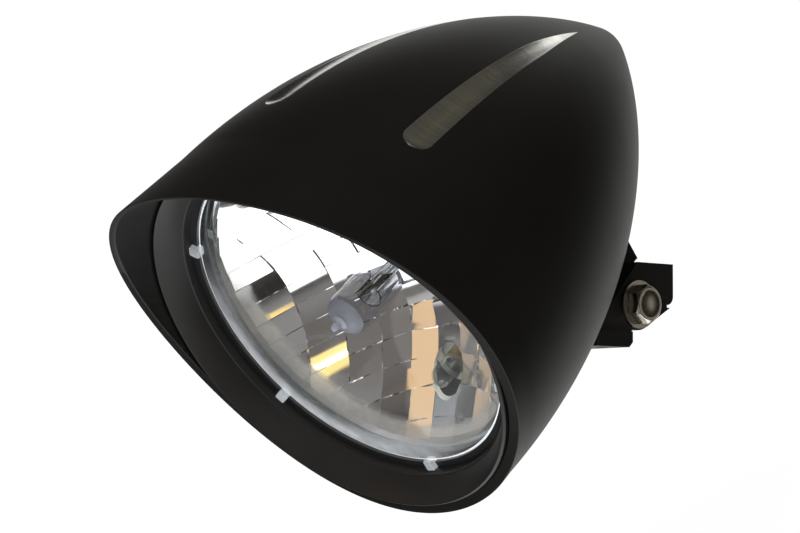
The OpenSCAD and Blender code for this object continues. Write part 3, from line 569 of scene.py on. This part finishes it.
def housing():
    """The turned body: outside, visor edge, inside of the visor and the cavity behind."""
    segments, steps, tail_steps, cavity_steps = 288, 90, 12, 24
    tail_tangent = TAIL_CENTRE - TAIL_R * math.sqrt(1 - (OGIVE_OFFSET / (OGIVE_R - TAIL_R)) ** 2)
    tail_end = math.acos((TAIL_CENTRE - tail_tangent) / TAIL_R)
    visor_back = VISOR_INSIDE_START - 2.0

    def outline(phi):
        """The body's section at an angle from the top, from the tail round the visor's edge and in."""
        r_out, rim = edge_from(BODY_R, body_at, phi)
        r_in, rim_in = edge_from(BODY_R - LIP_WALL, inner_at, phi)
        tail = [tail_end * i / tail_steps for i in range(1, tail_steps + 1)]
        points = [(TAIL_R * math.sin(a), TAIL_CENTRE - TAIL_R * math.cos(a)) for a in tail]
        for i in range(1, steps + 1):
            z = tail_tangent + (rim - LIP_BEVEL - tail_tangent) * i / steps
            points.append((body_at(z), z))
        points += [(r_out - LIP_BEVEL, rim), (r_in + LIP_BEVEL, rim_in)]
        for i in range(13):
            z = rim_in - LIP_BEVEL + (visor_back - rim_in + LIP_BEVEL) * i / 12
            points.append((inner_at(z), z))
        points += [(RING_BORE_R, RING_BORE_FRONT), (RING_BORE_R, SHOULDER_Z), (SHOULDER_R, SHOULDER_Z),
                   (SHOULDER_R, CAVITY_Z)]
        for i in range(1, cavity_steps + 1):
            z = CAVITY_Z + (TAIL_CENTRE - CAVITY_Z) * i / cavity_steps
            points.append((math.sqrt((OGIVE_R - WALL) ** 2 - (z - OGIVE_START) ** 2) - OGIVE_OFFSET, z))
        return points

    bm = bmesh.new()
    angles = [360.0 * k / segments for k in range(segments)]
    rows = [[bm.verts.new(polar(r, phi, z)) for phi, (r, z) in zip(angles, row)]
            for row in zip(*(outline(phi) for phi in angles))]
    wall_between(bm, rows)
    tail = bm.verts.new(lamp_point(0, 0, TAIL_CENTRE - TAIL_R))
    inside = bm.verts.new(lamp_point(0, 0, TAIL_CENTRE - TAIL_R + TAIL_WALL))
    for k in range(segments):
        n = (k + 1) % segments
        bm.faces.new((tail, rows[0][n], rows[0][k]))
        bm.faces.new((rows[-1][k], rows[-1][n], inside))
    mesh = finished(bm, "housing_body")
    obj = piece("housing_body", mesh, housing_black, replaces=("housing",))
    mesh.materials.append(bare_flute)
    boolean(obj, [flute_cutter(turn) for turn in (-FLUTE_STEP, 0.0, FLUTE_STEP)])
    smooth(obj.data, 28)


housing()

# Trim ring and lens

ring_seat, ring_skirt_r = LENS_FRONT + SEAL_T, INSERT_R + RING_SKIRT_GAP
piece("trim_ring_face", revolved("trim_ring_face", [
    (RING_LIP_R, ring_seat), (RING_LIP_R, RING_LIP_REACH - 0.7), (RING_LIP_R + 0.2, RING_LIP_REACH - 0.2),
    (RING_LIP_R + 0.7, RING_LIP_REACH), (RING_LIP_R + 1.3, RING_LIP_REACH + 1.05),
    (RING_R - 1.6, RING_EDGE_REACH - 0.5), (RING_R - 0.9, RING_EDGE_REACH - 0.05),
    (RING_R - 0.4, RING_EDGE_REACH - 0.3), (RING_R, RING_EDGE_REACH - 0.9), (RING_R, RING_BACK),
    (ring_skirt_r, RING_BACK), (ring_skirt_r, ring_seat)],
    256), ring_black, replaces=("trim_ring",))


def lens():
    """The clear dome with its thick foot and thin flange, each with its own glass, the foot's with a painted
    glint.
    """
    centre_z, inner_r, steps = LENS_APEX - LENS_CURVE_R, LENS_R - 2.5, 32
    front = [LENS_R * i / steps for i in range(steps)] + [LENS_R - 0.8, LENS_R - 0.3, LENS_R]
    outline = [(r, centre_z + math.sqrt(LENS_CURVE_R ** 2 - r * r)) for r in front]
    outline += [(LENS_R + 0.3, LENS_FRONT + 0.2), (LENS_R + 1.0, LENS_FRONT), (INSERT_R - 0.5, LENS_FRONT),
                (INSERT_R - 0.5, LENS_BACK), (inner_r, LENS_BACK)]
    for i in range(steps, -1, -1):
        r = inner_r * i / steps
        z = centre_z + math.sqrt((LENS_CURVE_R - LENS_T) ** 2 - r * r)
        outline.append((r, max(z, LENS_BACK + 0.2)))
    mesh = revolved("lens_dome", outline, 192, closed=False)
    piece("lens_dome", mesh, lens_glass, replaces=("lens",))
    mesh.materials.append(lens_foot_painted_glint)
    mesh.materials.append(flange_glass)
    for polygon in mesh.polygons:
        spot = polygon.center / MM + SEAT
        r, z = math.hypot(spot.x, spot.z), -spot.y
        # Faces of the foot take the painted glint, those of the thin flange the clear glass.
        if z > LENS_FRONT - 0.1 and LENS_R - 0.5 < r < LENS_R + 0.9:
            polygon.material_index = 1
        elif r > LENS_R - 3.0 and z < LENS_FRONT + 0.25:
            polygon.material_index = 2


lens()


def lens_lugs():
    """Small blocks moulded on the lens's rim, which centre it in the trim ring."""
    rule = Rule("ring_of_lugs", {"Count": 6, "Ring Radius": LENS_R + 1.15, "Width": 4.0, "Depth": 4.3,
                                 "Height": 3.9})
    half = rule.size("Height") * 0.5
    block = rule.node("GeometryNodeMeshCube", inputs={"Size": rule.node("ShaderNodeCombineXYZ", inputs=[
        rule.size("Depth"), rule.size("Width"), rule.size("Height")])})
    raised = rule.node("GeometryNodeTransform", inputs={"Geometry": block, "Translation": rule.node(
        "ShaderNodeCombineXYZ", inputs=[rule.size("Ring Radius"), 0.0, half])})
    points = rule.node("GeometryNodePoints", inputs={"Count": rule.size("Count")})
    turn = rule.node("GeometryNodeInputIndex") * (2 * math.pi) / rule.size("Count") + math.pi / 2
    spread = rule.node("GeometryNodeInstanceOnPoints", inputs={
        "Points": points, "Instance": raised,
        "Rotation": rule.node("ShaderNodeCombineXYZ", inputs=[0.0, 0.0, turn])})
    mesh = rule.mesh(spread, lug_glass_painted_glow, "lens_lugs")
    mesh.transform(FROM_LAMP @ Matrix.Translation((0, 0, LENS_FRONT - 0.4)))
    bm = bmesh.new()
    bm.from_mesh(mesh)
    bmesh.ops.bevel(bm, geom=bm.edges[:], offset=0.7 * MM, segments=3, affect="EDGES", profile=0.6)
    bpy.data.meshes.remove(mesh)
    piece("lens_lugs", finished(bm, "lens_lugs"), lug_glass_painted_glow)


lens_lugs()


# Reflector: a faceted bowl

def mirror_at(r):
    """How far forward the smooth bowl lies at a radius."""
    return VERTEX + r * r / (4 * FOCAL)


def facet_air():
    """The hollow of the bowl: a grid of facets, each flatter than the bowl across and a little
    rounder up and down, with a narrow step to the next."""
    rule = Rule("facet_bowl", {"Columns": 11, "Rows": 16, "Lines": 6, "Column Pitch": 11.6, "Row Pitch": 8.25,
                               "Step": 0.22, "Focal": FOCAL, "Vertex": VERTEX, "Flatten": 0.95, "Crown": 0.15,
                               "Turn": 0.08, "Wild": 2.0, "Seed": 7, "Lean": 0.12, "Hollow": 90.0})
    lines, columns, rows = rule.size("Lines"), rule.size("Columns"), rule.size("Rows")
    grid = rule.node("GeometryNodeMeshGrid", inputs={
        "Size X": columns * lines - 1.0, "Size Y": rows * lines - 1.0,
        "Vertices X": columns * lines, "Vertices Y": rows * lines})
    place = rule.node("GeometryNodeInputPosition")

    def split(axis, count, pitch):
        """Facet's number, its middle and the place within it, along one axis."""
        part = rule.node("ShaderNodeSeparateXYZ", inputs=[place], out=axis)
        index = rule.node("ShaderNodeMath", {"operation": "ROUND"}, [part + (count * lines - 1.0) / 2.0])
        number = rule.node("ShaderNodeMath", {"operation": "FLOOR"}, [(index + 0.5) / lines])
        within = ((index - number * lines) / (lines - 1.0) - 0.5) * (pitch - rule.size("Step"))
        return number, (number - (count - 1.0) / 2.0) * pitch, within

    column, x_mid, u = split(0, columns, rule.size("Column Pitch"))
    row, y_mid, v = split(1, rows, rule.size("Row Pitch"))
    facet = column * 40.0 + row

    def turned(salt):
        """A small turn of each facet, from the fixed seed."""
        return rule.node("FunctionNodeRandomValue", {"data_type": "FLOAT"}, {
            2: -1.0 * rule.size("Turn"), 3: rule.size("Turn"), "ID": facet,
            "Seed": rule.size("Seed") + salt}, out=1)

    x, y = x_mid + u, y_mid + v
    curve = 1.0 / (4.0 * rule.size("Focal"))
    wild = 1.0 + rule.size("Wild") * (x_mid * x_mid + y_mid * y_mid < 1100.0) * (y_mid < 2.0)
    height = (rule.size("Vertex") + (x * x + y * y) * curve - u * u * curve * rule.size("Flatten")
              + v * v * curve * rule.size("Crown") + (u * turned(0.0) + v * turned(9.0)) * wild
              - v * rule.size("Lean") * (y_mid > 26.0))
    sheet = rule.node("GeometryNodeSetPosition", inputs={
        "Geometry": grid, "Position": rule.node("ShaderNodeCombineXYZ", inputs=[x, y, height])})
    lifted = rule.node("GeometryNodeExtrudeMesh", {"mode": "FACES"}, {
        "Mesh": sheet, "Offset": rule.node("ShaderNodeCombineXYZ", inputs=[0.0, 0.0, 1.0]),
        "Offset Scale": rule.size("Hollow"), "Individual": False})
    both = rule.tree.nodes.new("GeometryNodeJoinGeometry")
    rule.tree.links.new(lifted.socket, both.inputs[0])
    rule.tree.links.new(rule.node("GeometryNodeFlipFaces", inputs=[sheet]).socket, both.inputs[0])
    closed = rule.node("GeometryNodeMergeByDistance", inputs={
        "Geometry": Socket(rule, both.outputs[0]), "Distance": 0.001})
    mesh = rule.mesh(closed, mirror, "facet_air")
    mesh.transform(FROM_LAMP)
    bm = bmesh.new()
    bm.from_mesh(mesh)
    bpy.data.meshes.remove(mesh)
    return loose(finished(bm, "facet_air"))


def reflector():
    """The moulded bowl with its flange, neck and city light tube, hollowed by the facets."""
    back = [(MIRROR_R * i / 16, mirror_at(MIRROR_R * i / 16) - 2.5) for i in range(16, -1, -1)]
    body = loose(revolved("reflector_facets", [
        (0.0, -2.0), (MIRROR_R - 4.0, -2.0), (MIRROR_R - 2.0, FLANGE_FRONT), (INSERT_R - 0.25, FLANGE_FRONT),
        (INSERT_R, FLANGE_FRONT - 0.25), (INSERT_R, FLANGE_BACK + 0.4), (INSERT_R - 0.4, FLANGE_BACK),
        (MIRROR_R + 1.5, FLANGE_BACK)] + back, 180, closed=False))
    body.data.materials.append(mirror)
    neck_back = BULB_SEAT - NECK_LENGTH
    neck = loose(revolved("neck", [(0.0, neck_back), (NECK_R - 0.4, neck_back), (NECK_R, neck_back + 0.4),
                                   (NECK_R, NECK_FRONT), (0.0, NECK_FRONT)], 128, closed=False))

    def city(x, y, z):
        return lamp_point(x, y - CITY_DROP, z)

    tube_r = CITY_PORT_R + CITY_WALL
    tube = loose(revolved("tube", [(0.0, CITY_BACK), (tube_r - 0.3, CITY_BACK), (tube_r, CITY_BACK + 0.3),
                                   (tube_r, CITY_FRONT), (0.0, CITY_FRONT)], 96, closed=False, place=city))
    boolean(body, [neck, tube], "UNION")
    air = facet_air()
    boolean(air, [loose(revolved("mouth", [(0.0, -70.0), (MIRROR_R, -70.0), (MIRROR_R, 30.0), (0.0, 30.0)],
                                 240, closed=False))], "INTERSECT")
    hole = loose(revolved("hole", [
        (0.0, -60.0), (22.0, -60.0), (22.0, BULB_SEAT), (BULB_HOLE_R, BULB_SEAT), (BULB_HOLE_R, -41.8),
        (BULB_HOLE_R + 0.8, -41.0), (BULB_HOLE_R + 0.8, 0.0), (0.0, 0.0)], 128, closed=False))
    port = loose(revolved("port", [
        (0.0, -70.0), (CITY_PORT_R, -70.0), (CITY_PORT_R, CITY_LIP_Z - 0.4), (CITY_LIP_R, CITY_LIP_Z),
        (CITY_LIP_R, 0.0), (0.0, 0.0)], 96, closed=False, place=city))
    boolean(body, [air, hole, port])
    mesh = body.data
    mesh.materials.clear()
    mesh.materials.append(mirror)
    mesh.materials.append(port_painted_reflection)

    def in_port(corner):
        """Whether a corner lies on the port's wall, or on its lip in front."""
        reach = CITY_PORT_R if -corner.y < CITY_LIP_Z + 0.1 else CITY_LIP_R
        return math.hypot(corner.x, corner.z + CITY_DROP) < reach + 0.1

    # Faces of the port's wall and lip take the pale grey of painted reflection.
    for polygon in mesh.polygons:
        corners = [mesh.vertices[k].co / MM + SEAT for k in polygon.vertices]
        polygon.material_index = int(all(in_port(corner) for corner in corners))
    bpy.data.objects.remove(body)
    return mesh


piece("reflector_facets", reflector(), None, replaces=("reflector",), sharp=7.0)


# Bulb: the tube, its dull blue-grey coat and the drawn nipple

def dome(r, height, start, end, step):
    """Points of a flattened dome from one angle off the axis to another."""
    return [(r * math.sin(math.radians(a)), DOME_Z + height * math.cos(math.radians(a)))
            for a in range(start, end + (1 if step > 0 else -1), step)]


def bulb():
    """The bulb's glass: its envelope, the coat on its end and the nipple in front."""
    inner_r, inner_h, tip = BULB_R - GLASS_WALL, DOME_H - GLASS_WALL, DOME_Z + DOME_H
    envelope = (dome(BULB_R, DOME_H, 0, 90, 6) + [(BULB_R, GLASS_FOOT), (inner_r, GLASS_FOOT)]
                + dome(inner_r, inner_h, 90, 0, -10))
    piece("bulb_envelope", revolved("bulb_envelope", envelope, 96, closed=False), bulb_clear,
          replaces=("bulb_glass",))
    coat = (dome(BULB_R + 0.12, DOME_H + 0.12, 0, 65, 5) + dome(BULB_R + 0.01, DOME_H + 0.01, 65, 0, -5))
    piece("bulb_cap_coat", revolved("bulb_cap_coat", coat, 96, closed=False), cap_coat)
    nipple = [(0.0, 4.5), (0.6, 4.35), (1.1, 3.9), (1.45, 3.2), (1.5, 2.5), (1.35, 1.6), (1.4, 0.9),
              (1.9, 0.45), (3.0, 0.02), (2.6, -0.4), (0.0, -0.2)]
    piece("bulb_nipple", revolved("bulb_nipple", [(r, tip + z) for r, z in nipple], 64, closed=False),
          nipple_glass)


bulb()


# Pivot bolt and nut

def pivot(x, y, z):
    """A point of the pivot's frame, z along the bolt towards its head, in metres."""
    return Vector((z, PIVOT_Y + x, PIVOT_Z + y)) * MM


def hexagon(start, end):
    """A hexagon bar along the bolt."""
    bm = bmesh.new()
    corners = [math.radians(HEX_TURN + 60 * k) for k in range(6)]
    rings = [[bm.verts.new(pivot(HEX_CORNER * math.cos(a), HEX_CORNER * math.sin(a), z)) for a in corners]
             for z in (start, end)]
    wall_between(bm, rings)
    bm.faces.new(rings[0][::-1])
    bm.faces.new(rings[1])
    return loose(finished(bm, "hexagon"))


def fastened(name, outline, start, end, joined=(), replaces=()):
    """A chamfered head or nut: its turned form cut to a hexagon."""
    obj = loose(revolved(name, outline, 96, closed=outline[0][0] > 0, place=pivot))
    boolean(obj, [hexagon(start, end)], "INTERSECT")
    if joined:
        boolean(obj, joined, "UNION")
    mesh = obj.data
    bpy.data.objects.remove(obj)
    piece(name, mesh, stainless, body="stand", replaces=replaces, sharp=25.0)


shank = [(0.0, HEAD_SEAT + 1.0), (SHANK_R, HEAD_SEAT + 1.0), (SHANK_R, THREAD_START)]
for turn in range(9):
    start = THREAD_START - 0.6 - THREAD_PITCH * turn
    shank += [(SHANK_R, start), (THREAD_ROOT_R, start - 0.6)]
shank += [(THREAD_ROOT_R - 0.15, -32.0), (0.0, -32.0)]
fastened("bolt_m8", [
    (0.0, 26.85), (4.2, 26.85), (4.7, 27.05), (5.2, HEAD_TOP), (6.1, HEAD_TOP), (6.35, 27.15), (7.7, 25.7),
    (7.7, 22.25), (6.4, 22.25), (6.4, HEAD_SEAT), (0.0, HEAD_SEAT)], HEAD_SEAT, HEAD_TOP,
    [loose(revolved("shank", shank, 64, closed=False, place=pivot))], ("pivot_bolt",))
fastened("locking_nut", [
    (4.02, NUT_SEAT), (6.6, NUT_SEAT), (7.7, -22.6), (7.7, -27.4), (6.9, -27.9), (6.2, -28.1), (5.9, -29.4),
    (5.3, NUT_TOP), (4.02, NUT_TOP)], NUT_SEAT, NUT_TOP, (), ("pivot_nut",))

# Edges and finishes of the pieces that keep their solids

for name, radius in {"bracket": 0.4, "pivot_washers": 0.3, "lamp_lug": 0.4}.items():
    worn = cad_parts[name].modifiers.new("rounded_edges", "BEVEL")
    worn.width = radius * MM
    worn.segments = 3
    worn.limit_method = "ANGLE"
    worn.angle_limit = math.radians(40)
    worn.harden_normals = False

for look, names in (
    (rubber, ("insert_gasket", "rubber_boot", "wiring_grommet")),
    (stainless, ("ring_lock_screw", "lug_screws", "lug_washers", "friction_washers", "pivot_washers")),
    (plated, ("bulb_shield", "bulb_filaments", "bulb_flange", "bulb_terminals", "bulb_clip")),
    (plastic, ("bulb_insulator",)), (sealant, ("lens_bond",)), (seal_rubber, ("lens_seal",)),
    (city_glass, ("city_bulb",)), (brass, ("city_base",)), (holder_rubber, ("city_holder",)),
    (bronze, ("pivot_bush",)), (housing_black, ("lamp_lug",)), (bracket_black, ("bracket",)),
):
    for name in names:
        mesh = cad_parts[name].data
        mesh.materials.clear()
        mesh.materials.append(look)

# Floor, light and camera

scene = bpy.context.scene
scene.view_settings.view_transform = "Standard"

FLOOR_REACH, FLOOR_Z = 6.0, -0.12
floor_mesh = bpy.data.meshes.new("floor")
floor_mesh.from_pydata([(x * FLOOR_REACH, y * FLOOR_REACH, FLOOR_Z) for x, y in (
    (-1, -1), (1, -1), (1, 1), (-1, 1))], [], [(0, 1, 2, 3)])
floor = loose(floor_mesh)
floor_look = Look("pale_floor")
matt = floor_look.node("ShaderNodeBsdfDiffuse", inputs={"Color": (0.80, 0.80, 0.80)})
lit = floor_look.node("ShaderNodeEmission", inputs={"Color": (1.0, 1.0, 1.0), "Strength": 1.04})
floor_look.show(floor_look.mix(floor_look.shown() * 0.9, matt, lit))
floor_mesh.materials.append(floor_look.material)
floor.visible_glossy = False

studio = Look("studio", world=True)
soft = studio.node("ShaderNodeBackground", inputs={"Color": (1.0, 1.0, 1.0), "Strength": 0.35})
white = studio.node("ShaderNodeBackground", inputs={"Color": (1.0, 1.0, 1.0), "Strength": 1.0})
studio.show(studio.mix(studio.shown(), soft, white))
scene.world = studio.material

# Cards of the tent: shade, direction from the lamp, and the angles at which a card is full and gone
TENT_CARDS = (
    ((0.17, 0.155, 0.145), (0.3, -0.85, 0.45), 26, 50),
    ((0.30, 0.29, 0.285), (0.74, -0.66, -0.02), 8, 22),
    ((0.085, 0.082, 0.066), (0.25, 0.74, 0.62), 18, 36),
    ((0.12, 0.10, 0.065), (0.16, 0.79, 0.59), 2, 7),
    ((0.90, 0.90, 0.88), (-0.54, 0.82, -0.14), 21, 29),
    ((0.90, 0.90, 0.88), (-0.42, 0.64, -0.66), 25, 35),
    ((1.5, 1.5, 1.45), (-0.22, 0.97, 0.10), 4, 7),
    ((2.2, 2.2, 2.2), (0.06, -0.775, -0.63), 33, 34.5),
    ((2.2, 2.2, 2.2), (-0.10, -0.38, -0.92), 35, 37),
    ((0.87, 0.585, 0.335), (-0.50, -0.62, 0.62), 13, 16),
    ((1.5, 1.1, 0.42), (0.44, -0.75, 0.50), 5.5, 6.5),
    ((3.5, 3.3, 2.8), (0.44, -0.75, 0.50), 2.0, 2.8),
    ((0.50, 0.49, 0.47), (-0.10, -0.97, 0.12), 6, 9),
    ((1.6, 1.6, 1.6), (-0.45, -0.88, 0.06), 5, 7),
    ((0.37, 0.345, 0.29), (0.74, 0.557, -0.378), 6, 12),
    ((1.5, 1.1, 0.42), (0.65, -0.74, -0.15), 2.4, 3.2),
    ((0.30, 0.31, 0.33), (-0.85, -0.25, 0.47), 12, 20),
)
TENT_R, TENT_SHADE = 3.0, (0.030, 0.027, 0.025)


def studio_tent():
    """A dark tent around the lamp that only shows in reflections, with pale and warm cards in it."""
    bm = bmesh.new()
    bmesh.ops.create_uvsphere(bm, u_segments=64, v_segments=32, radius=TENT_R)
    mesh = bpy.data.meshes.new("studio_tent")
    bm.to_mesh(mesh)
    bm.free()
    obj = loose(mesh)
    for ray in ("camera", "diffuse", "transmission", "volume_scatter", "shadow"):
        setattr(obj, "visible_" + ray, False)
    look = Look("tent_cloth")
    where = look.node("ShaderNodeVectorMath", {"operation": "NORMALIZE"}, [
        look.node("ShaderNodeTexCoord", out="Object")])
    colour = TENT_SHADE
    for shade, direction, inner, outer in TENT_CARDS:
        aim = tuple(Vector(direction).normalized())
        facing = look.node("ShaderNodeVectorMath", {"operation": "DOT_PRODUCT"}, [where, aim], out="Value")
        card = look.rise(facing, math.cos(math.radians(outer)), math.cos(math.radians(inner)))
        colour = look.blend(card, colour, shade)
    look.show(look.node("ShaderNodeEmission", inputs={"Color": colour, "Strength": 1.0}))
    mesh.materials.append(look.material)


studio_tent()


def soft_box(name, place, size, watts):
    """A lamp with a soft face, aimed at the middle of the body."""
    data = bpy.data.lights.new(name, "AREA")
    data.shape = "RECTANGLE"
    data.size, data.size_y = size
    data.energy = watts
    obj = bpy.data.objects.new(name, data)
    obj.location = place
    obj.rotation_euler = (BODY_MIDDLE - place).to_track_quat("-Z", "Y").to_euler()
    obj.visible_glossy = False
    scene.collection.objects.link(obj)


# Directions of the picture in the frame of the CAD, from which the lamps are placed
RIGHT = Vector((0.671, 0.574, -0.469))
UP = Vector((0.044, 0.600, 0.798))
TOWARDS = Vector((0.740, -0.557, 0.378))
BODY_MIDDLE = lamp_point(0, 0, -60)


def from_view(right, up, near):
    """A place from the middle of the body, in metres to the right, up and towards the camera."""
    return BODY_MIDDLE + RIGHT * right + UP * up + TOWARDS * near


soft_box("key_soft_box", from_view(-0.9, 1.0, 0.9), (0.9, 0.9), 30.0)
soft_box("low_right_box", from_view(1.3, -0.5, 0.1), (0.9, 1.4), 3.5)
soft_box("front_fill", from_view(-0.5, 0.1, 1.7), (0.8, 0.8), 13.0)
soft_box("back_strip", from_view(0.5, 1.4, -0.4), (0.5, 1.4), 10.0)

# The camera's focal length and principal point in pixels of the picture, and its place
FOCUS_PX, PRINCIPAL = 3341.0, (352.6, 309.3)
WIDTH_PX, HEIGHT_PX, SENSOR, DISTANCE = 800.0, 533.0, 36.0, 1.2
az, el, roll = math.radians(53.07), math.radians(22.24), math.radians(-30.42)
back = Vector((math.sin(az) * math.cos(el), -math.cos(az) * math.cos(el), math.sin(el)))
side = Vector((math.cos(az), math.sin(az), 0.0))
over = back.cross(side)
right = side * math.cos(roll) + over * math.sin(roll)
up = over * math.cos(roll) - side * math.sin(roll)
camera_data = bpy.data.cameras.new("photo_camera")
camera_data.sensor_width = SENSOR
camera_data.lens = FOCUS_PX * SENSOR / WIDTH_PX
camera_data.shift_x = (WIDTH_PX / 2 - PRINCIPAL[0]) / WIDTH_PX
camera_data.shift_y = (PRINCIPAL[1] - HEIGHT_PX / 2) / WIDTH_PX
camera = bpy.data.objects.new("photo_camera", camera_data)
camera.matrix_world = Matrix((
    (right.x, up.x, back.x, 0), (right.y, up.y, back.y, 0), (right.z, up.z, back.z, 0), (0, 0, 0, 1)))
camera.location = lamp_point(0, 0, 0) + back * DISTANCE
scene.collection.objects.link(camera)
scene.camera = camera
